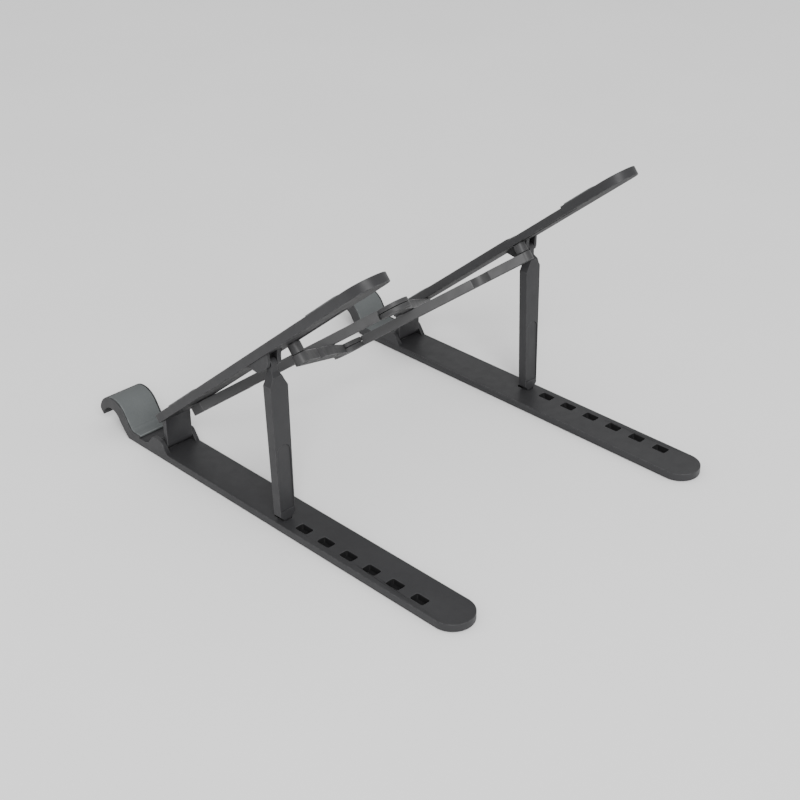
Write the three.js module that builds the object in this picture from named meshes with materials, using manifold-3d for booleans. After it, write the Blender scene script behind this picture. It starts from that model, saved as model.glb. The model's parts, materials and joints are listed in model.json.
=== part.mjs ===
// Folding laptop stand: two base rails, two hinged arms, two struts that drop into a row of
// slots in the rails, and a four-link scissor that ties the two halves together.
// Millimetres, +X to the right-hand half, +Y to the rear, +Z up. The origin is the centre of the
// footprint on the table. The stand is shown open, with both struts in their front slots.
import * as THREE from 'three';
import { mergeVertices } from 'three/addons/utils/BufferGeometryUtils.js';
import Module from 'manifold-3d';

const wasm = await Module();
wasm.setup();

// ---- Driving dimensions -------------------------------------------------------------------
const GAP = 0.3; // running gap between neighbouring pieces
const EYE_GAP = 0.3; // radial gap between a rivet or pin and its eye
const RAD = Math.PI / 180;

// Base rails
const RAIL_X = 82.75; // rail's centre line, from the middle plane
const RAIL_W = 21.1;
const RAIL_TOP = 4.4;
const RAIL_UNDER = 0.4; // the feet stand this far proud of the rail
const RAIL_IN = RAIL_X - RAIL_W / 2;
const RAIL_OUT = RAIL_X + RAIL_W / 2;

// Slots that take the strut's foot
const SLOT_PITCH = 15;
const SLOT_COUNT = 7;
const SLOT_W = 5;
const SLOT_L = 7.8;
const SLOT_FLOOR = 1.2; // the slots are blind, down to this height
const SLOT_X = RAIL_X + 4.6; // slots and strut lie in the outer half
const SLOT_Y = 11.2; // centre of the first slot

// Front hook: a hump with a rolled-over lip, lined with silicone
const HOOK_Y = -115.4; // centre of the hump's curve
const HOOK_Z = 7.4;
const HOOK_R = 11.6; // outer radius, lining included
const LINER_T = 1.3;
const HOOK_WALL = 32; // degrees at which the hump's curve turns into its straight rear wall
const HOOK_LINED = 111; // degrees at which the lining stops
const HOOK_TIP = 168; // degrees at the lip's tip
const VALLEY_R = 5.5; // fillet between the rear wall and the rail, under the lining
const ARCH_Y = -116.8; // centre of the hollow under the hump
const ARCH_Z = 5.1;
const ARCH_R = 7.5;
const LINER_REAR = -93.6;
const RIM = 0.6; // rims that hold the lining at both sides
const RAIL_REAR = -(HOOK_Y + HOOK_R * Math.cos(HOOK_TIP * RAD)); // level with the lip, about the origin

// Hinge at the front of each arm
const HINGE_Y = -76.4;
const HINGE_Z = 7.9;
const BARREL_R = 3.2;
const CHEEK_T = 2.4;
const CHEEK_R = 2.9;
const CHEEK_SKIN = 0.8; // left over each end of the pin, which doesn't show from outside
const PIN_R = 1.2;
const LEG_FRONT = 0.8; // the leg's two faces, measured to the rear of the hinge axis
const LEG_REAR = 3.6;

// Arms, in a frame that is tilted about the hinge axis: y runs up the arm, z is square to it
const ARM_TILT = 39.7;
const ARM_TOP = 13.9;
const ARM_T = 4.5;
const ARM_UNDER = ARM_TOP - ARM_T;
const ARM_FRONT = 10;
const ARM_TIP = 203.2;
const PAD_PROUD = 0.5;
const PAD_SINK = 0.6;
const PAD_MARGIN = 1.1;
const FRONT_PAD = { inner: [22.4, 41.6], outer: [22.4, 52.4] }; // stations of its two long edges
const REAR_PAD = { inner: [163.5, 184.2], outer: [158.6, 184.2] };
const STEP = { from: 118.7, to: 162.3, depth: 0.8, edge: 80.6 }; // lowered strip along the inner edge

// Struts
const STRUT_W = 10.6; // at the shoulder
const STRUT_FOOT_W = 8.9;
const STRUT_T = 5;
const STRUT_LEAN = 1.86; // its foot stands against the rear of the slot, in degrees off upright
const STRUT_OFFSET = 1.33; // middle of its thickness, to the rear of the pivot
const PIVOT_AT = 115.4; // the strut's pivot, along the arm
const PIVOT_DROP = 3.5; // and below the arm's underside
const NECK = [-1.2, 2.2]; // its inner and outer face, across the strut
const NECK_END = 3.6; // from the pivot down to the shoulders
const INNER_SHOULDER = [[-3.5, 8.6], [-2, 5.4]]; // points on the way up, across and down from the pivot
const OUTER_SHOULDER = [[4.3, 8.6], [3.2, 5.6]];
const SHOULDER = [11.8, 10.2]; // from the pivot down to the full width, at the inner and the outer side
const REAR_TAPER = [6, 4]; // from the pivot down to where the rear face starts and stops leaning in
const STRUT_BARREL_R = 2.2;
const STRUT_PIN_R = 1;
const EAR_IN_T = 2.5;
const EAR_OUT_T = 1.9;
const EAR_SIDE = 0.35; // gap between the neck and each ear
const EAR_OUTLINE = [
  [-12.9, 3.9], [-9, -0.7], [-6.5, -1.8], [-3.4, -1.9], [0.5, -1.9], [2, -0.7], [5.8, 3.9],
]; // up the arm and square to it, from the pivot
const FOOT_CHAMFER = 2.2;
const RECESS = { half: 4, from: 5, to: 40, depth: 0.5 }; // arched, in the rear face, above the foot
const FOOT_CLEAR = 0.4; // above the rail

// Scissor links
const PIVOT_X = 76.5; // line of the front rivet and the rear slider under each arm
const LINK_OUTER = 65.87; // arm pivot to crossing rivet
const LINK_INNER = 36.22; // crossing rivet to centre rivet
const LINK_LEN = LINK_OUTER + LINK_INNER;
const LINK_HW = 3.6;
const LINK_T = 4.9;
const LINK_CLOSED = 4.78; // half the angle left between a closed pair of links, in degrees
const FRONT_PIVOT = 34; // along the arm
const KNUCKLE_R = 8.5;
const NOTCH_AT = 25.5; // clearance notch, from the arm end of the link
const NOTCH_R = 6.2;
const NOTCH_DEPTH = 2.4;
const RIVET_R = 1.5;
const CROSS_R = 1.3;
const POST_R = 3.2;
const NECK_R = 1.9;
const HEAD_R = 2.6;
const CROSS_HEAD_R = 2.2;
const HEAD_SUNK = 0.15; // below the face around it
const HEAD_T = 0.8;

// ---- Values worked out from them -----------------------------------------------------------
const linkOpen = Math.asin(PIVOT_X / LINK_LEN);
const sliderOpen = FRONT_PIVOT + 2 * LINK_OUTER * Math.cos(linkOpen);
const sliderClosed = FRONT_PIVOT + 2 * LINK_OUTER * Math.cos(LINK_CLOSED * RAD);
const rearCentre = FRONT_PIVOT + LINK_LEN * Math.cos(linkOpen);
const frontCentre = FRONT_PIVOT + (LINK_OUTER - LINK_INNER) * Math.cos(linkOpen);
const crossX = PIVOT_X - LINK_OUTER * Math.sin(linkOpen);
const crossY = FRONT_PIVOT + LINK_OUTER * Math.cos(linkOpen);
const upperTop = ARM_UNDER - GAP;
const upperUnder = upperTop - LINK_T;
const lowerTop = upperUnder - GAP;
const lowerUnder = lowerTop - LINK_T;
const tilt = ARM_TILT * RAD;
const strutPivotZ = ARM_UNDER - PIVOT_DROP;
const strutY = HINGE_Y + PIVOT_AT * Math.cos(tilt) - strutPivotZ * Math.sin(tilt);
const strutTop = HINGE_Z + PIVOT_AT * Math.sin(tilt) + strutPivotZ * Math.cos(tilt);
const earIn = SLOT_X + NECK[0] - EAR_SIDE; // faces of the two ears that look at the neck
const earOut = SLOT_X + NECK[1] + EAR_SIDE;

// ---- Materials -----------------------------------------------------------------------------
const finish = (color, roughness, metalness = 0) => () =>
  new THREE.MeshStandardMaterial({ color, roughness, metalness });
const bodyPlastic = finish(0x424244, 0.62);
const linkPlastic = finish(0x4b4b4c, 0.58);
const silicone = finish(0x6a7070, 0.8);
const footRubber = finish(0x2c2c2e, 0.85);
const steel = finish(0x55585c, 0.4, 0.9);

// ---- Shape helpers -------------------------------------------------------------------------
const point = (x, y) => new THREE.Vector2(x, y);

/** Points on an arc from one angle to another, in degrees. */
function arc(cx, cy, radius, from, to, steps) {
  return Array.from({ length: steps + 1 }, (_, i) => {
    const angle = (from + ((to - from) * i) / steps) * RAD;
    return point(cx + radius * Math.cos(angle), cy + radius * Math.sin(angle));
  });
}

/** A closed mesh as a manifold solid. */
function solid(geometry) {
  const bare = geometry.index ? geometry.toNonIndexed() : geometry.clone();
  bare.deleteAttribute('normal');
  bare.deleteAttribute('uv');
  const merged = mergeVertices(bare, 1e-4);
  return new wasm.Manifold(new wasm.Mesh({
    numProp: 3,
    vertProperties: new Float32Array(merged.attributes.position.array),
    triVerts: new Uint32Array(merged.index.array),
  }));
}

/** An outline in (x, y), extruded from z0 to z1. */
function plate(points, z0, z1) {
  const shape = new THREE.Shape(points);
  const geometry = new THREE.ExtrudeGeometry(shape, { depth: z1 - z0, bevelEnabled: false });
  geometry.translate(0, 0, z0);
  return solid(geometry);
}

/** An outline in (y, z), extruded from x0 to x1. */
function slab(points, x0, x1) {
  const shape = new THREE.Shape(points);
  const geometry = new THREE.ExtrudeGeometry(shape, { depth: x1 - x0, bevelEnabled: false });
  geometry.rotateX(Math.PI / 2);
  geometry.rotateZ(Math.PI / 2);
  geometry.translate(x0, 0, 0);
  return solid(geometry);
}

/** An outline in (x, z), extruded from y0 to y1. */
function panel(points, y0, y1) {
  const shape = new THREE.Shape(points);
  const geometry = new THREE.ExtrudeGeometry(shape, { depth: y1 - y0, bevelEnabled: false });
  geometry.rotateX(Math.PI / 2);
  geometry.translate(0, y1, 0);
  return solid(geometry);
}

function block(x0, x1, y0, y1, z0, z1) {
  const geometry = new THREE.BoxGeometry(x1 - x0, y1 - y0, z1 - z0);
  geometry.translate((x0 + x1) / 2, (y0 + y1) / 2, (z0 + z1) / 2);
  return solid(geometry);
}

/** A cylinder along Z. */
function rod(x, y, radius, z0, z1, sides = 24) {
  const geometry = new THREE.CylinderGeometry(radius, radius, z1 - z0, sides);
  geometry.rotateX(Math.PI / 2);
  geometry.translate(x, y, (z0 + z1) / 2);
  return solid(geometry);
}

/** A cylinder along X. */
function axle(y, z, radius, x0, x1, sides = 24) {
  const geometry = new THREE.CylinderGeometry(radius, radius, x1 - x0, sides);
  geometry.rotateZ(Math.PI / 2);
  geometry.translate((x0 + x1) / 2, y, z);
  return solid(geometry);
}

/** A turned piece along Z, from [radius, z] pairs that start and end on the axis. */
function turned(x, y, profile, sides = 24) {
  const geometry = new THREE.LatheGeometry(profile.map(([r, z]) => point(r, z)), sides);
  geometry.rotateX(Math.PI / 2);
  geometry.translate(x, y, 0);
  return solid(geometry);
}

/** An outline with its corners rounded off, each from this far along its two sides. */
function rounded(corners, reach) {
  return corners.flatMap((corner, i) => {
    const before = corners.at(i - 1);
    const after = corners[(i + 1) % corners.length];
    const start = corner.clone().lerp(before, reach / corner.distanceTo(before));
    const end = corner.clone().lerp(after, reach / corner.distanceTo(after));
    return new THREE.QuadraticBezierCurve(start, corner, end).getPoints(4);
  });
}

/** A slot with round ends that runs along Y. */
function obround(x, y0, y1, halfWidth, z0, z1) {
  return plate([
    ...arc(x, y0, halfWidth, 180, 360, 10),
    ...arc(x, y1, halfWidth, 0, 180, 10),
  ], z0, z1);
}

function geometryOf(shape, mirror) {
  const mesh = shape.getMesh();
  const position = Float32Array.from(mesh.vertProperties);
  const index = Uint32Array.from(mesh.triVerts);
  if (mirror) {
    for (let i = 0; i < position.length; i += 3) position[i] = -position[i];
    for (let i = 0; i < index.length; i += 3) {
      const second = index[i + 1];
      index[i + 1] = index[i + 2];
      index[i + 2] = second;
    }
  }
  const indexed = new THREE.BufferGeometry();
  indexed.setAttribute('position', new THREE.BufferAttribute(position, 3));
  indexed.setIndex(new THREE.BufferAttribute(index, 1));
  const faceted = indexed.toNonIndexed();
  faceted.computeVertexNormals();
  return faceted;
}

function add(group, name, shape, material, mirror = false) {
  const mesh = new THREE.Mesh(geometryOf(shape, mirror), material());
  mesh.name = name;
  group.add(mesh);
}

// ---- Base rail -----------------------------------------------------------------------------
/**
 * Upper surface of the hook from the rail up over the hump, at a height above the plastic that
 * the lining lies on. The rear wall is the straight tangent between the valley's fillet and the
 * hump's curve.
 */
function hookSurface(height, lastAngle, steps) {
  const base = HOOK_R - LINER_T;
  const wall = HOOK_WALL * RAD;
  const valleyZ = RAIL_TOP + VALLEY_R;
  const reach = base + VALLEY_R - (valleyZ - HOOK_Z) * Math.sin(wall);
  const valleyY = HOOK_Y + reach / Math.cos(wall);
  return [
    ...arc(valleyY, valleyZ, VALLEY_R - height, 270, 180 + HOOK_WALL, 5),
    ...arc(HOOK_Y, HOOK_Z, base + height, HOOK_WALL, lastAngle, steps),
  ];
}

function railProfile() {
  const lip = arc(HOOK_Y, HOOK_Z, HOOK_R, HOOK_LINED, HOOK_TIP, 9);
  const tip = lip[lip.length - 1];
  return [
    point(RAIL_REAR, RAIL_UNDER),
    point(RAIL_REAR, RAIL_TOP),
    ...hookSurface(0, HOOK_LINED, 10),
    ...lip,
    point(tip.x + 0.7, tip.y - 1.7),
    point(tip.x + 1.7, tip.y - 2.6),
    ...arc(ARCH_Y, ARCH_Z, ARCH_R, 172, 22, 12),
    point(-105.2, 2.2),
    point(-103.4, RAIL_UNDER),
  ];
}

function cheek(x0, x1) {
  return slab([
    point(-89.5, RAIL_TOP - 0.5),
    point(-89.5, RAIL_TOP),
    point(-86.4, 5.2),
    point(-83.6, 8.2),
    ...arc(-80.2, 7.6, 3.2, 140, 95, 3),
    ...arc(HINGE_Y, HINGE_Z, CHEEK_R, 90, 33, 5),
    point(-70.6, RAIL_TOP),
    point(-70.6, RAIL_TOP - 0.5),
  ].reverse(), x0, x1);
}

function baseRail() {
  const half = RAIL_W / 2;
  const outline = plate([
    point(RAIL_IN, -140),
    point(RAIL_OUT, -140),
    ...arc(RAIL_X, RAIL_REAR - half, half, 0, 180, 24),
  ], -1, 40);
  let rail = slab(railProfile().reverse(), RAIL_IN, RAIL_OUT)
    .intersect(outline)
    .add(cheek(RAIL_IN, RAIL_IN + CHEEK_T))
    .add(cheek(RAIL_OUT - CHEEK_T, RAIL_OUT))
    .add(slab(liningOutline(-0.2, LINER_T, HOOK_LINED), RAIL_IN, RAIL_IN + RIM))
    .add(slab(liningOutline(-0.2, LINER_T, HOOK_LINED), RAIL_OUT - RIM, RAIL_OUT));
  for (let k = 0; k < SLOT_COUNT; k += 1) {
    rail = rail.subtract(plate(slotOutline(SLOT_Y + k * SLOT_PITCH), SLOT_FLOOR, 9));
  }
  const bore = axle(HINGE_Y, HINGE_Z, PIN_R + EYE_GAP, RAIL_IN + CHEEK_SKIN, RAIL_OUT - CHEEK_SKIN);
  const relief = axle(HINGE_Y, HINGE_Z, BARREL_R + 0.6, RAIL_IN + CHEEK_T, RAIL_OUT - CHEEK_T);
  rail = rail.subtract(bore).subtract(relief);
  for (const shape of footOutlines(GAP)) {
    rail = rail.subtract(plate(shape, -1, RAIL_UNDER + 0.8));
  }
  return rail;
}

function slotOutline(y) {
  const corner = (a, b) => point(SLOT_X + (a * SLOT_W) / 2, y + (b * SLOT_L) / 2);
  return rounded([corner(-1, -1), corner(1, -1), corner(1, 1), corner(-1, 1)], 1);
}

/** Outlines of the two feet under a rail, grown by a margin. */
function footOutlines(margin) {
  const half = 5.6 + margin;
  const oblong = (y0, y1) => [
    ...arc(RAIL_X, y0, half, 180, 360, 12),
    ...arc(RAIL_X, y1, half, 0, 180, 12),
  ];
  return [oblong(-94.5, -62), oblong(113.4, 117.4)];
}

/** Outline of the lining or of a rim beside it, from one height above the plastic to another. */
function liningOutline(low, high, lastAngle) {
  return [
    point(LINER_REAR, RAIL_TOP + low),
    ...hookSurface(low, lastAngle, 10),
    ...hookSurface(high, lastAngle, 10).reverse(),
    point(LINER_REAR, RAIL_TOP + high),
  ];
}

function hookLiner() {
  const margin = RIM + GAP;
  return slab(liningOutline(0.12, LINER_T, HOOK_LINED - 1.2), RAIL_IN + margin, RAIL_OUT - margin);
}

// ---- Arm -----------------------------------------------------------------------------------
/** Plan of the arm's bar, from its square front end to its round tip. */
function barPlan() {
  return [
    point(RAIL_IN, ARM_FRONT),
    point(RAIL_OUT, ARM_FRONT),
    ...arc(RAIL_X, ARM_TIP - RAIL_W / 2, RAIL_W / 2, 0, 180, 24),
  ];
}

/** Plan of a pad, or of its pocket when it is grown by a margin. */
function padPlan({ inner, outer }, margin) {
  const x0 = RAIL_IN + PAD_MARGIN - margin;
  const x1 = RAIL_OUT - PAD_MARGIN + margin;
  return rounded([
    point(x0, inner[0] - margin),
    point(x1, outer[0] - margin),
    point(x1, outer[1] + margin),
    point(x0, inner[1] + margin),
  ], 2);
}

function ear(x0, x1) {
  return slab(EAR_OUTLINE.map(([y, z]) => point(PIVOT_AT + y, strutPivotZ + z)), x0, x1);
}

/** The leg is upright when the stand is open, so its outline is turned back by the arm's tilt. */
function leg() {
  const top = 17;
  const upright = [
    [LEG_FRONT, 0],
    [LEG_REAR, 0],
    [LEG_REAR, top + 3],
    [LEG_FRONT - 3.4, top - 2],
    [LEG_FRONT, top - 6],
  ].map(([y, z]) => point(
    y * Math.cos(tilt) + z * Math.sin(tilt),
    -y * Math.sin(tilt) + z * Math.cos(tilt),
  ));
  const x0 = RAIL_IN + CHEEK_T + GAP;
  const x1 = RAIL_OUT - CHEEK_T - GAP;
  const belowTop = block(x0 - 1, x1 + 1, -20, 60, -20, ARM_TOP - 2);
  return slab(upright, x0, x1).intersect(belowTop).add(axle(0, 0, BARREL_R, x0, x1));
}

function arm() {
  const channel = 3.5;
  const slotHalf = NECK_R + GAP;
  let body = plate(barPlan(), ARM_UNDER, ARM_TOP)
    .add(leg())
    .add(ear(earIn - EAR_IN_T, earIn))
    .add(ear(earOut, earOut + EAR_OUT_T));
  const cuts = [
    axle(0, 0, PIN_R + EYE_GAP, RAIL_IN, RAIL_OUT),
    axle(PIVOT_AT, strutPivotZ, STRUT_PIN_R + EYE_GAP, earIn - EAR_IN_T - 1, earOut + EAR_OUT_T - 0.6),
    rod(PIVOT_X, FRONT_PIVOT, RIVET_R + EYE_GAP, ARM_UNDER - 1, ARM_TOP - 1.9),
    block(RAIL_IN - 1, STEP.edge, STEP.from, STEP.to, ARM_TOP - STEP.depth, ARM_TOP + 1),
    obround(PIVOT_X, sliderOpen, sliderClosed, channel, ARM_TOP - 1.4, ARM_TOP + 1),
    obround(PIVOT_X, sliderOpen, sliderClosed, slotHalf, ARM_UNDER - 1, ARM_TOP),
    plate(padPlan(FRONT_PAD, GAP), ARM_TOP - PAD_SINK, ARM_TOP + 1),
    plate(padPlan(REAR_PAD, GAP), ARM_TOP - PAD_SINK, ARM_TOP + 1),
  ];
  for (const cut of cuts) body = body.subtract(cut);
  return body;
}

function pad(stations) {
  return plate(padPlan(stations, 0), ARM_TOP - PAD_SINK + GAP, ARM_TOP + PAD_PROUD);
}

// ---- Strut ---------------------------------------------------------------------------------
/** With its pivot at the origin and its length along -Z. */
function strut() {
  const half = STRUT_W / 2;
  const footHalf = STRUT_FOOT_W / 2;
  const front = STRUT_OFFSET - STRUT_T / 2;
  const rear = STRUT_OFFSET + STRUT_T / 2;
  const foot = (strutTop - RAIL_TOP - FOOT_CLEAR) / Math.cos(STRUT_LEAN * RAD);
  const [neckIn, neckOut] = NECK;
  const acrossAndDown = ([across, down]) => point(across, -down);
  const face = panel([
    point(-footHalf + FOOT_CHAMFER, -foot),
    point(footHalf - FOOT_CHAMFER, -foot),
    point(footHalf, -foot + FOOT_CHAMFER),
    point(half, -SHOULDER[1]),
    ...OUTER_SHOULDER.map(acrossAndDown),
    point(neckOut, -NECK_END),
    point(neckOut, 0),
    point(neckIn, 0),
    point(neckIn, -NECK_END),
    ...INNER_SHOULDER.map(acrossAndDown).reverse(),
    point(-half, -SHOULDER[0]),
    point(-footHalf, -foot + FOOT_CHAMFER),
  ], front - 1, rear + 1);
  const side = slab([
    point(front, -foot),
    point(rear, -foot),
    point(rear, -REAR_TAPER[0]),
    point(STRUT_BARREL_R, -REAR_TAPER[1]),
    point(STRUT_BARREL_R, 0),
    point(front, 0),
  ], -half - 1, half + 1);
  const recess = panel([
    point(-RECESS.half, -foot + RECESS.from),
    point(RECESS.half, -foot + RECESS.from),
    ...arc(0, -foot + RECESS.to - RECESS.half, RECESS.half, 0, 180, 16),
  ], rear - RECESS.depth, rear + 1);
  return face
    .intersect(side)
    .add(axle(0, 0, STRUT_BARREL_R, neckIn, neckOut))
    .subtract(axle(0, 0, STRUT_PIN_R + EYE_GAP, -half, half))
    .subtract(recess);
}

// ---- Scissor link --------------------------------------------------------------------------
/**
 * A link in its own frame: its arm pivot at the origin, its centre joint at +Y. The side that
 * meets the opposite link when the stand is closed faces -X. The knuckle fills the upper or the
 * lower half of the link's thickness. Front links end in a square cut, rear links are round.
 */
function link({ under, upperKnuckle, front }) {
  const top = under + LINK_T;
  const mid = (under + top) / 2;
  const own = upperKnuckle ? [mid + GAP / 2, top] : [under, mid - GAP / 2];
  const other = upperKnuckle ? [under - 1, mid + GAP / 2] : [mid - GAP / 2, top + 1];
  const slope = Math.tan(LINK_CLOSED * RAD);
  const facing = 0.15; // the closed links stop this far from the middle plane
  let bar = block(-LINK_HW, LINK_HW, front ? -14 : 0, LINK_LEN, under, top);
  if (!front) bar = bar.add(rod(0, 0, LINK_HW + 0.1, under, top, 32));
  const cuts = [
    plate([
      point(-20, LINK_LEN + 20),
      point(-20, LINK_LEN - 56),
      point(facing - 56 * slope, LINK_LEN - 56),
      point(facing + 20 * slope, LINK_LEN + 20),
    ].reverse(), under - 1, top + 1),
    rod(-LINK_HW - NOTCH_R + NOTCH_DEPTH, NOTCH_AT, NOTCH_R, under - 1, top + 1, 40),
  ];
  if (front) cuts.push(squareEnd(under - 1, top + 1));
  for (const cut of cuts) bar = bar.subtract(cut);
  bar = bar
    .subtract(rod(0, LINK_LEN, KNUCKLE_R + 0.4, ...other, 40))
    .add(rod(0, LINK_LEN, KNUCKLE_R, ...own, 40))
    .subtract(rod(0, LINK_LEN, RIVET_R + EYE_GAP, under - 1, top + 1))
    .subtract(rod(0, LINK_OUTER, CROSS_R + EYE_GAP, under - 1, top + 1))
    .subtract(rod(0, 0, RIVET_R + EYE_GAP, under - 1, top + 1));
  const sunkBelow = [under - 1, under + HEAD_SUNK + HEAD_T + GAP - 0.05];
  const sunkAbove = [top - 1.2, top + 1];
  bar = bar
    .subtract(rod(0, LINK_LEN, 3.1, ...(upperKnuckle ? sunkAbove : sunkBelow)))
    .subtract(rod(0, 0, HEAD_R + GAP, ...sunkBelow));
  return front ? bar : bar.subtract(rod(0, LINK_OUTER, CROSS_HEAD_R + GAP, ...sunkBelow));
}

/** Cuts a front link's end in line with the arm. */
function squareEnd(z0, z1) {
  const reach = 5.2;
  const along = [Math.sin(linkOpen), Math.cos(linkOpen)];
  const outward = [Math.cos(linkOpen), -Math.sin(linkOpen)];
  const corner = (a, b) => point(a * along[0] + b * outward[0], a * along[1] + b * outward[1]);
  return plate([corner(-30, reach), corner(-30, 30), corner(30, 30), corner(30, reach)].reverse(), z0, z1);
}

// ---- Fasteners -----------------------------------------------------------------------------
/** Rivet through a pair of knuckles, both heads sunk. */
function centreRivet(y, under) {
  const top = under + LINK_T;
  return turned(0, y, [
    [0, under + 0.15], [2.8, under + 0.15], [2.8, under + 0.95], [RIVET_R, under + 0.95],
    [RIVET_R, top - 0.95], [2.8, top - 0.95], [2.8, top - 0.15], [0, top - 0.15],
  ]);
}

/** Lower end of a rivet: its head, sunk in the underside of a link. */
function sunkHead(under, headRadius, shankRadius) {
  const low = under + HEAD_SUNK;
  return [
    [0, low], [headRadius - 0.3, low], [headRadius, low + 0.3],
    [headRadius, low + HEAD_T], [shankRadius, low + HEAD_T],
  ];
}

/** Rivet where an upper and a lower link cross. */
function crossRivet() {
  return turned(crossX, crossY, [
    ...sunkHead(lowerUnder, CROSS_HEAD_R, CROSS_R), [CROSS_R, upperTop - 0.15], [0, upperTop - 0.15],
  ]);
}

function frontRivet() {
  return turned(PIVOT_X, FRONT_PIVOT, [
    ...sunkHead(upperUnder, HEAD_R, RIVET_R), [RIVET_R, ARM_TOP - 2.3], [0, ARM_TOP - 2.3],
  ]);
}

/** The rear link's post: it fills the upper link's level and its neck runs in the arm's slot. */
function sliderPost() {
  return turned(PIVOT_X, sliderOpen, [
    ...sunkHead(lowerUnder, HEAD_R, RIVET_R),
    [RIVET_R, lowerTop + GAP], [POST_R, lowerTop + GAP], [POST_R, ARM_UNDER - GAP],
    [NECK_R, ARM_UNDER - GAP], [NECK_R, ARM_TOP - 1.25], [1.15, ARM_TOP - 1.25],
    [1.15, ARM_TOP - 4], [0, ARM_TOP - 4],
  ]);
}

function sliderCap() {
  const seat = ARM_TOP - 1.05;
  return turned(PIVOT_X, sliderOpen, [
    [0, ARM_TOP - 3.7], [0.9, ARM_TOP - 3.7], [0.9, seat], [POST_R, seat],
    [POST_R, seat + 0.3], [POST_R - 0.3, seat + 0.5], [0, seat + 0.5],
  ]);
}

function hingePin() {
  return axle(HINGE_Y, HINGE_Z, PIN_R, RAIL_IN + CHEEK_SKIN + GAP, RAIL_OUT - CHEEK_SKIN - GAP);
}

function strutPin() {
  return axle(PIVOT_AT, strutPivotZ, STRUT_PIN_R, earIn - EAR_IN_T + 0.3, earOut + EAR_OUT_T - 0.9);
}

// ---- Assembly ------------------------------------------------------------------------------
const stand = new THREE.Group();
const tilted = new THREE.Group();
tilted.position.set(0, HINGE_Y, HINGE_Z);
tilted.rotation.x = tilt;
stand.add(tilted);

/** Places a link on its arm pivot: front links run up the arm, rear links run down it. */
function placeLink(name, sign, front, upperKnuckle) {
  const shape = link({ under: front ? upperUnder : lowerUnder, upperKnuckle, front });
  const holder = new THREE.Group();
  holder.position.set(sign * PIVOT_X, front ? FRONT_PIVOT : sliderOpen, 0);
  holder.rotation.z = sign * (front ? linkOpen : Math.PI - linkOpen);
  tilted.add(holder);
  // A rear link is the front link's mirror image, turned end for end.
  add(holder, name, shape, linkPlastic, (sign < 0) === front);
}

for (const [side, sign] of [['right', 1], ['left', -1]]) {
  const mirror = sign < 0;
  const foot = footOutlines(0).map((outline) => plate(outline, 0, RAIL_UNDER + 0.5));
  add(stand, `${side}_base_rail`, baseRail(), bodyPlastic, mirror);
  add(stand, `${side}_hook_liner`, hookLiner(), silicone, mirror);
  add(stand, `${side}_foot_front`, foot[0], footRubber, mirror);
  add(stand, `${side}_foot_rear`, foot[1], footRubber, mirror);
  add(stand, `${side}_hinge_pin`, hingePin(), steel, mirror);

  add(tilted, `${side}_arm`, arm(), bodyPlastic, mirror);
  add(tilted, `${side}_arm_front_pad`, pad(FRONT_PAD), silicone, mirror);
  add(tilted, `${side}_arm_rear_pad`, pad(REAR_PAD), silicone, mirror);
  add(tilted, `${side}_strut_pin`, strutPin(), steel, mirror);
  add(tilted, `${side}_front_rivet`, frontRivet(), steel, mirror);
  add(tilted, `${side}_cross_rivet`, crossRivet(), steel, mirror);
  add(tilted, `${side}_slider_post`, sliderPost(), linkPlastic, mirror);
  add(tilted, `${side}_slider_cap`, sliderCap(), steel, mirror);

  const hanger = new THREE.Group();
  hanger.position.set(sign * SLOT_X, strutY, strutTop);
  hanger.rotation.x = STRUT_LEAN * RAD;
  stand.add(hanger);
  add(hanger, `${side}_strut`, strut(), bodyPlastic, mirror);

  placeLink(`${side}_front_link`, sign, true, sign > 0);
  placeLink(`${side}_rear_link`, sign, false, sign > 0);
}

add(tilted, 'rear_centre_rivet', centreRivet(rearCentre, upperUnder), steel);
add(tilted, 'front_centre_rivet', centreRivet(frontCentre, lowerUnder), steel);

export default stand;
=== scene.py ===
"""Looks of a folding laptop stand, built around its CAD frame. Metres, +Z up, +Y to the rear."""

import json
import math

import bmesh
import bpy
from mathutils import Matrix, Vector
from mathutils.bvhtree import BVHTree


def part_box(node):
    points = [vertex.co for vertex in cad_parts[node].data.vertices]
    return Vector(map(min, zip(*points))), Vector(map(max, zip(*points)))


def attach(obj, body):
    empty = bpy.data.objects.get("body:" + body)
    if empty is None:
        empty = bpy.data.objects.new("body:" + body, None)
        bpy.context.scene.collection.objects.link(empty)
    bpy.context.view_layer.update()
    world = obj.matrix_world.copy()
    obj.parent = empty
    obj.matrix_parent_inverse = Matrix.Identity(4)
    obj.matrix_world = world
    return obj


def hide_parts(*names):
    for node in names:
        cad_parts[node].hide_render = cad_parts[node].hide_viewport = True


MM = 0.001
SIDES = (("right", 1), ("left", -1))

# ---- Tongue under each strut ---------------------------------------------------------------
SLOT_X = 87.35 * MM  # middle of the rails' slots
TONGUE_Y = 12.7 * MM
TONGUE_END = 1.9 * MM  # just above the bottom of the slot
TONGUE_TOP = (2.2 * MM, 2.1 * MM)  # half sizes across and along the rail
TONGUE_TIP = (1.9 * MM, 1.6 * MM)
TONGUE_SUNK = 0.6 * MM  # into the strut's foot
TONGUE_ROUNDING = (0.35, 3)

# ---- Camera, as solved from the photograph ------------------------------------------------
CAMERA_AT = (0.4577, 0.4581, 0.4017)
CAMERA_AZIMUTH = math.radians(134.9)
CAMERA_ELEVATION = math.radians(30.04)
LENS = 66.7
SENSOR = 36

# ---- Studio --------------------------------------------------------------------------------
FLOOR_HALF = 4
FLOOR_Z = -0.02 * MM
KEY_AT = (1.2, 1.6, 1.5)
KEY_SIZE = 1.3
KEY_POWER = 62
AIM_AT = (0, 0, 0.05)
DOME_STRENGTH = 0.9

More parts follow.
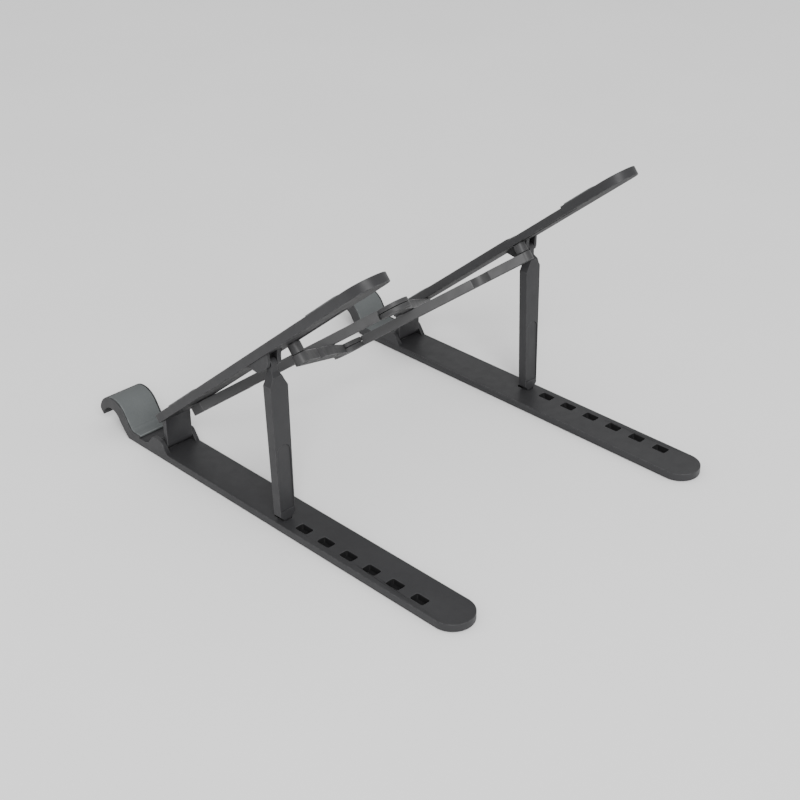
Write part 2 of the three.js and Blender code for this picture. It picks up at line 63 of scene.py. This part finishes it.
# ---- Edge rounding of each kind of piece: width in mm, segments ----------------------------
ROUNDING = {
    "base_rail": (0.27, 3),
    "hook_liner": (0.35, 3),
    "foot_front": (0.25, 2),
    "foot_rear": (0.25, 2),
    "hinge_pin": (0.2, 2),
    "arm": (0.35, 3),
    "arm_front_pad": (0.35, 3),
    "arm_rear_pad": (0.35, 3),
    "strut_pin": (0.2, 2),
    "front_rivet": (0.15, 2),
    "cross_rivet": (0.12, 2),
    "slider_post": (0.25, 2),
    "slider_cap": (0.1, 2),
    "strut": (0.18, 2),
    "front_link": (0.3, 3),
    "rear_link": (0.3, 3),
    "centre_rivet": (0.15, 2),
}
SHARP = math.radians(28)  # edges that turn by more than this are rounded
WELD = 0.002 * MM
SMOOTHING_WEIGHT = 80

# ---- How enclosed a face is, which sets painted shade and roughness: rays sent out of it, and how far they look ---
DEEP_RAYS = 14
DEEP_REACH = 9 * MM
DEEP_START = 0.02 * MM
DEEP_SPREAD = 0.9  # how far the rays fan out, from 0 for straight ahead to 1 for flat on the face
PAINTED_SHADE_UNDER = 0.5  # least value of a face that looks down: undersides get painted shade, and are rougher from the mould
FACES_DOWN = -0.35  # height of a face's normal below which it counts as looking down
DEEP_FROM, DEEP_TO = 0.25, 0.65  # values between which the painted shade darkens the tone
# painted shade: enclosed faces and undersides are darkened towards the near-black tone below, by up to
# this share
PAINTED_SHADE_DARKENS = 0.82
DEEP_ROUGHENS = 0.4
PAINTED_SHADE_TONE = (0.003, 0.003, 0.0032)

# ---- Surface detail that the moulded materials share: noise scale, detail, roughness -------
FLOW = (55, 3, 0.55)
FLOW_STRETCH = (1, 0.45, 1)
SPECKLE = (0.22, 1.5)  # share and lightness of the grain's high spots
MATT_PATCHES = (180, 3)
MATT_SPREAD = 0.06
WAVES = (240, 2)
WAVE_DEPTH = 0.03 * MM
WAVE_STRENGTH = 0.5
# lighter worn edges, which are wear and also a painted highlight along the rounded edges
WEAR_AND_HIGHLIGHT_RUNS = (420, 3)
WEAR_AND_HIGHLIGHT_SHOWS = 0.5
WEAR_POLISHES = 0.12

# ---- Steel ---------------------------------------------------------------------------------
STEEL_DARK = (0.05, 0.051, 0.053)
STEEL_LIGHT = (0.09, 0.092, 0.095)
# lighter rubbed steel: wear, and also a painted highlight along rounded edges
STEEL_WORN_AND_HIGHLIT = (0.24, 0.24, 0.245)
STEEL_TURNING = (1500, 2, 0.6)
STEEL_STRETCH = (1, 0.08, 0.08)
STEEL_PATCHES = (700, 3)
STEEL_GROOVES = 0.006 * MM

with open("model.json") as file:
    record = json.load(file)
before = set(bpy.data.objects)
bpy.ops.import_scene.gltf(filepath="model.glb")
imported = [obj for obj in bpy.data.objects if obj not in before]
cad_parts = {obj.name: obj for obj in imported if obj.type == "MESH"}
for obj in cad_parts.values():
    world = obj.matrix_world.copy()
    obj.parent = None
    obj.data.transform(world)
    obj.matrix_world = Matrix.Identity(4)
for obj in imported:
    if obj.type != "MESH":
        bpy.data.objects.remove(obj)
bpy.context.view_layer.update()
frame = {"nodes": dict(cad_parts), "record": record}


# ---- Materials -----------------------------------------------------------------------------
class Nodes:
    """Short calls for the node types that the materials share."""

    def __init__(self, name):
        self.material = bpy.data.materials.new(name)
        self.material.use_nodes = True
        self.tree = self.material.node_tree
        self.shader = self.tree.nodes["Principled BSDF"]
        self.place = self.new("ShaderNodeTexCoord").outputs["Object"]

    def new(self, kind, **settings):
        node = self.tree.nodes.new(kind)
        for key, value in settings.items():
            setattr(node, key, value)
        return node

    def link(self, source, target):
        self.tree.links.new(source, target)

    def noise(self, scale, detail=2.0, roughness=0.5, stretch=None):
        node = self.new("ShaderNodeTexNoise")
        node.inputs["Scale"].default_value = scale
        node.inputs["Detail"].default_value = detail
        node.inputs["Roughness"].default_value = roughness
        place = self.place
        if stretch:
            mapping = self.new("ShaderNodeMapping")
            mapping.inputs["Scale"].default_value = stretch
            self.link(place, mapping.inputs["Vector"])
            place = mapping.outputs["Vector"]
        self.link(place, node.inputs["Vector"])
        return node.outputs["Fac"]

    def span(self, value, low, high, from_low=0.3, from_high=0.7):
        node = self.new("ShaderNodeMapRange")
        node.inputs["From Min"].default_value = from_low
        node.inputs["From Max"].default_value = from_high
        node.inputs["To Min"].default_value = low
        node.inputs["To Max"].default_value = high
        self.link(value, node.inputs["Value"])
        return node.outputs["Result"]

    def maths(self, operation, a, b):
        node = self.new("ShaderNodeMath", operation=operation)
        for socket, value in zip(node.inputs, (a, b)):
            if isinstance(value, (int, float)):
                socket.default_value = value
            else:
                self.link(value, socket)
        return node.outputs["Value"]

    def mix(self, factor, a, b):
        node = self.new("ShaderNodeMix", data_type="RGBA")
        for name, value in (("Factor", factor), ("A", a), ("B", b)):
            socket = node.inputs[name]
            if isinstance(value, (int, float)):
                socket.default_value = value
            elif isinstance(value, tuple):
                socket.default_value = (*value, 1)
            else:
                self.link(value, socket)
        return node.outputs["Result"]

    def wear_and_highlight(self):
        """How worn a rounded edge is, from 0 to 1, in irregular runs along it; it lightens the edge, which
        is wear and also a painted highlight.
        """
        edge = self.new("ShaderNodeAttribute", attribute_name="edge").outputs["Fac"]
        return self.maths("MULTIPLY", edge, self.span(self.noise(*WEAR_AND_HIGHLIGHT_RUNS), 0.15, 1, 0.4, 0.62))

    def bump(self, height, depth, strength=1.0, under=None):
        node = self.new("ShaderNodeBump")
        node.inputs["Distance"].default_value = depth
        node.inputs["Strength"].default_value = strength
        self.link(height, node.inputs["Height"])
        if under:
            self.link(under, node.inputs["Normal"])
        return node.outputs["Normal"]


def moulded(name, dark, light, worn_and_highlit, roughness, shine, grain_depth, grain=2600):
    """Moulded polymer: a spark-eroded grain, faint flow marks, edges lightened where polished by use,
    which also paints a highlight on them, and painted shade in recesses and on undersides.
    """
    n = Nodes(name)
    flow = n.noise(*FLOW, FLOW_STRETCH)
    fine = n.noise(grain, 2)
    share, lightness = SPECKLE
    tone = n.mix(n.span(flow, 0, 1), dark, light)
    speckled = n.mix(n.span(fine, 0, share), tone, tuple(c * lightness for c in light))
    wear_and_highlight = n.wear_and_highlight()
    # worn edges are lightened: wear, and also a painted highlight along the rounded edges
    worn_and_highlit_tone = n.mix(n.maths("MULTIPLY", wear_and_highlight, WEAR_AND_HIGHLIGHT_SHOWS), speckled, worn_and_highlit)
    # painted shade: faces that the piece itself encloses, and undersides, are darkened towards a
    # near-black tone
    painted_shade_mask = n.new("ShaderNodeAttribute", attribute_name="painted_shade_mask").outputs["Fac"]
    shade = n.span(painted_shade_mask, 0, PAINTED_SHADE_DARKENS, DEEP_FROM, DEEP_TO)
    n.link(n.mix(shade, worn_and_highlit_tone, PAINTED_SHADE_TONE), n.shader.inputs["Base Color"])
    rough = n.span(n.noise(*MATT_PATCHES), roughness - MATT_SPREAD, roughness + MATT_SPREAD)
    rubbed = n.maths("SUBTRACT", rough, n.maths("MULTIPLY", wear_and_highlight, WEAR_POLISHES))
    n.link(n.maths("ADD", rubbed, n.maths("MULTIPLY", shade, DEEP_ROUGHENS)), n.shader.inputs["Roughness"])
    broad = n.bump(n.noise(*WAVES), WAVE_DEPTH, WAVE_STRENGTH)
    n.link(n.bump(fine, grain_depth, 1.0, broad), n.shader.inputs["Normal"])
    n.shader.inputs["Specular IOR Level"].default_value = shine
    return n.material


def steel(name):
    """Darkened steel with turning marks round the pin and bright spots where it rubs, which also paint a
    highlight along its rounded edges.
    """
    n = Nodes(name)
    turned = n.noise(*STEEL_TURNING, STEEL_STRETCH)
    tone = n.mix(n.span(turned, 0, 1), STEEL_DARK, STEEL_LIGHT)
    # rubbed edges are lightened: wear, and also a painted highlight along them
    rubbed = n.maths("MULTIPLY", n.wear_and_highlight(), 0.7)
    n.link(n.mix(rubbed, tone, STEEL_WORN_AND_HIGHLIT), n.shader.inputs["Base Color"])
    n.link(n.span(n.noise(*STEEL_PATCHES), 0.3, 0.46), n.shader.inputs["Roughness"])
    n.link(n.bump(turned, STEEL_GROOVES), n.shader.inputs["Normal"])
    n.shader.inputs["Metallic"].default_value = 0.9
    return n.material


materials = {
    "body_plastic": moulded(
        "Body plastic",
        dark=(0.025, 0.025, 0.0265), light=(0.031, 0.031, 0.0325), worn_and_highlit=(0.07, 0.07, 0.072),
        roughness=0.43, shine=0.2, grain_depth=0.02 * MM,
    ),
    "link_plastic": moulded(
        "Link plastic",
        dark=(0.038, 0.038, 0.039), light=(0.046, 0.046, 0.047), worn_and_highlit=(0.1, 0.1, 0.102),
        roughness=0.43, shine=0.2, grain_depth=0.015 * MM,
    ),
    "grip_silicone": moulded(
        "Grip silicone",
        dark=(0.075, 0.082, 0.083), light=(0.09, 0.097, 0.098), worn_and_highlit=(0.2, 0.215, 0.215),
        roughness=0.7, shine=0.3, grain_depth=0.01 * MM, grain=1900,
    ),
    "foot_rubber": moulded(
        "Foot rubber",
        dark=(0.018, 0.018, 0.019), light=(0.026, 0.026, 0.027), worn_and_highlit=(0.05, 0.05, 0.05),
        roughness=0.78, shine=0.2, grain_depth=0.02 * MM, grain=2200,
    ),
    "pin_steel": steel("Pin steel"),
}


# ---- Detailed pieces -----------------------------------------------------------------------
def kind_of(node):
    return next(kind for kind in sorted(ROUNDING, key=len, reverse=True) if node.endswith(kind))


def round_edges(bm, edges, width, segments):
    """Rounds these edges and marks the new faces, which is where wear and a painted edge highlight show.
    """
    mark = bm.faces.layers.float["edge"]
    made = bmesh.ops.bevel(
        bm, geom=edges, offset=width, offset_type="OFFSET", segments=segments, profile=0.5,
        affect="EDGES", clamp_overlap=False, harden_normals=False, material=-1,
    )
    for face in made["faces"]:
        face[mark] = 1.0


def fan(normal):
    """Directions spread evenly round a face's normal."""
    side = normal.orthogonal().normalized()
    other = normal.cross(side)
    golden = math.pi * (3 - math.sqrt(5))
    for i in range(DEEP_RAYS):
        rise = 1 - (i + 0.5) / DEEP_RAYS * DEEP_SPREAD
        spread = math.sqrt(1 - rise * rise)
        turn = golden * i
        yield normal * rise + side * spread * math.cos(turn) + other * spread * math.sin(turn)


def mark_painted_shade_mask(bm):
    """Notes on each face how much of the space in front of it the same piece fills, with a least value on
    faces that look down; the materials paint shade from it.
    """
    mark = bm.faces.layers.float.new("painted_shade_mask")
    tree = BVHTree.FromBMesh(bm)
    for face in bm.faces:
        start = face.calc_center_median() + face.normal * DEEP_START
        met = sum(tree.ray_cast(start, ray, DEEP_REACH)[0] is not None for ray in fan(face.normal))
        # faces that look down get painted shade, whatever is in front of them
        least = PAINTED_SHADE_UNDER if face.normal.z < FACES_DOWN else 0
        face[mark] = max(met / DEEP_RAYS, least)


def convex_sharp(bm):
    edges = (edge for edge in bm.edges if edge.is_manifold and edge.is_convex)
    return [edge for edge in edges if edge.calc_face_angle(0) > SHARP]


def mesh_object(name, bm, material):
    mesh = bpy.data.meshes.new(name)
    bm.to_mesh(mesh)
    bm.free()
    mesh.materials.append(material)
    mesh.shade_smooth()
    made = bpy.data.objects.new(name, mesh)
    bpy.context.scene.collection.objects.link(made)
    weighted = made.modifiers.new("Weighted normals", "WEIGHTED_NORMAL")
    weighted.mode = "FACE_AREA"
    weighted.weight = SMOOTHING_WEIGHT
    weighted.keep_sharp = False
    return made


def detailed(node, slot):
    """A CAD node's shape as a moulded or turned piece, with its edges rounded."""
    source = frame["nodes"][node]
    bm = bmesh.new()
    bm.from_mesh(source.data)
    bmesh.ops.remove_doubles(bm, verts=bm.verts, dist=WELD)
    bm.faces.layers.float.new("edge")
    width, segments = ROUNDING[kind_of(node)]
    round_edges(bm, convex_sharp(bm), width * MM, segments)
    mark_painted_shade_mask(bm)
    piece = mesh_object(node + "_shape", bm, materials[slot])
    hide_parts(node)
    return piece


slots = {row["node"]: row["material_slot"] for row in frame["record"]["subparts"]}
for body, members in frame["record"]["behaviour"]["bodies"].items():
    for node in members:
        slot = slots[node]
        frame["nodes"][node].data.materials.clear()
        frame["nodes"][node].data.materials.append(materials[slot])
        piece = detailed(node, slot)
        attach(piece, body)


def tongue(side, sign):
    """The tongue under a strut's foot, which stands in the first slot."""
    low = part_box(side + "_strut")[0]
    bm = bmesh.new()
    bmesh.ops.create_cube(bm, size=1)
    for vertex in bm.verts:
        top = vertex.co.z > 0
        half_x, half_y = TONGUE_TOP if top else TONGUE_TIP
        vertex.co.x = sign * SLOT_X + math.copysign(half_x, vertex.co.x)
        vertex.co.y = TONGUE_Y + math.copysign(half_y, vertex.co.y)
        vertex.co.z = low.z + TONGUE_SUNK if top else TONGUE_END
    bm.faces.layers.float.new("edge")
    width, segments = TONGUE_ROUNDING
    round_edges(bm, convex_sharp(bm), width * MM, segments)
    piece = mesh_object(side + "_strut_tongue", bm, materials["body_plastic"])
    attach(piece, side + "_strut")


for side, sign in SIDES:
    tongue(side, sign)


# ---- Floor, light and camera ---------------------------------------------------------------
def floor():
    bm = bmesh.new()
    bmesh.ops.create_grid(bm, x_segments=2, y_segments=2, size=FLOOR_HALF)
    for vertex in bm.verts:
        vertex.co.z = FLOOR_Z
    mesh = bpy.data.meshes.new("floor")
    bm.to_mesh(mesh)
    bm.free()
    made = bpy.data.objects.new("floor", mesh)
    bpy.context.scene.collection.objects.link(made)
    n = Nodes("Studio floor")
    tone = n.mix(n.span(n.noise(6, 2), 0, 1), (0.9, 0.9, 0.9), (0.93, 0.93, 0.93))
    n.link(tone, n.shader.inputs["Base Color"])
    n.shader.inputs["Roughness"].default_value = 0.9
    mesh.materials.append(n.material)


def lights():
    """One large soft lamp behind the camera, and an even white dome."""
    data = bpy.data.lights.new("key", "AREA")
    data.shape = "DISK"
    data.size = KEY_SIZE
    data.energy = KEY_POWER
    made = bpy.data.objects.new("key", data)
    made.location = KEY_AT
    made.rotation_euler = (Vector(AIM_AT) - Vector(KEY_AT)).to_track_quat("-Z", "Y").to_euler()
    bpy.context.scene.collection.objects.link(made)
    world = bpy.data.worlds.new("studio")
    world.use_nodes = True
    background = world.node_tree.nodes["Background"]
    background.inputs["Color"].default_value = (1, 1, 1, 1)
    background.inputs["Strength"].default_value = DOME_STRENGTH
    bpy.context.scene.world = world


def camera():
    data = bpy.data.cameras.new("camera")
    data.lens = LENS
    data.sensor_width = SENSOR
    data.clip_start = 0.01
    made = bpy.data.objects.new("camera", data)
    made.location = CAMERA_AT
    level = math.cos(CAMERA_ELEVATION)
    back = Vector((
        math.sin(CAMERA_AZIMUTH) * level, -math.cos(CAMERA_AZIMUTH) * level, math.sin(CAMERA_ELEVATION),
    ))
    made.rotation_euler = back.to_track_quat("Z", "Y").to_euler()
    bpy.context.scene.collection.objects.link(made)
    bpy.context.scene.camera = made


floor()
lights()
camera()
